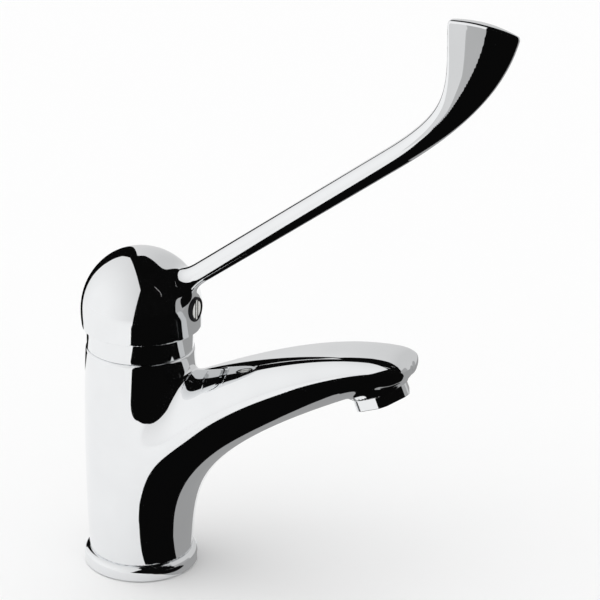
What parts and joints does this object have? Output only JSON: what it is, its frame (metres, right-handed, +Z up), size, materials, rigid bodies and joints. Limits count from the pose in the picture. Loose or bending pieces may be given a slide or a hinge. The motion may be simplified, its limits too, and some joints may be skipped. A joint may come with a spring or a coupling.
{
  "type": "elbow lever basin tap",
  "caption": "Chromed single-lever basin tap with a swept spout and a long upturned elbow lever that lifts to open and turns to mix.",
  "frame": {"origin": "centre of the foot, on the deck surface", "axes": "+Z up along the body axis, +X towards the spout outlet, XZ is the mid-plane"},
  "size_m": [0.1872, 0.0526, 0.2635],
  "materials": {
    "chrome": "polished",
    "brass": "machined",
    "steel": "machined",
    "housing_plastic": "moulded",
    "guide_plastic": "moulded",
    "ceramic": "lapped",
    "rubber": "moulded",
    "plug_plastic": "gloss"
  },
  "bodies": {
    "tap": {"body_casting": "chrome", "base_ring": "chrome", "base_gasket": "rubber", "neck_ring": "chrome", "neck_o_ring": "rubber", "cartridge_nut": "brass", "cartridge_housing": "housing_plastic", "cartridge_base": "housing_plastic", "inlet_seals": "rubber", "outlet_seal": "rubber", "disc_gasket": "rubber", "fixed_disc": "ceramic", "aerator_housing": "chrome", "aerator_washer": "rubber", "aerator_insert": "housing_plastic", "aerator_screen": "steel"},
    "turn": {"stem_guide": "guide_plastic", "pivot_pin": "steel"},
    "lever": {"lever_handle": "chrome", "lever_stem": "brass", "grub_screw": "steel", "indicator_plug": "plug_plastic"},
    "disc": {"disc_carrier": "guide_plastic", "moving_disc": "ceramic"}
  },
  "joints": [
    {"name": "lever_turn", "type": "hinge", "parent": "tap", "child": "turn", "pos_m": [0, 0, 0.104], "axis": [0, 0, 1], "range_deg": [-45, 45]},
    {"name": "lever_lift", "type": "hinge", "parent": "turn", "child": "lever", "pos_m": [0, 0, 0.104], "axis": [0, -1, 0], "range_deg": [0, 22]},
    {"name": "disc_slide", "type": "slide", "parent": "turn", "child": "disc", "axis": [1, 0, 0], "range_m": [0, 0.0043]}
  ],
  "couplings": [
    {"joint": "disc_slide", "follows": "lever_lift", "m_per_rad": 0.011}
  ]
}
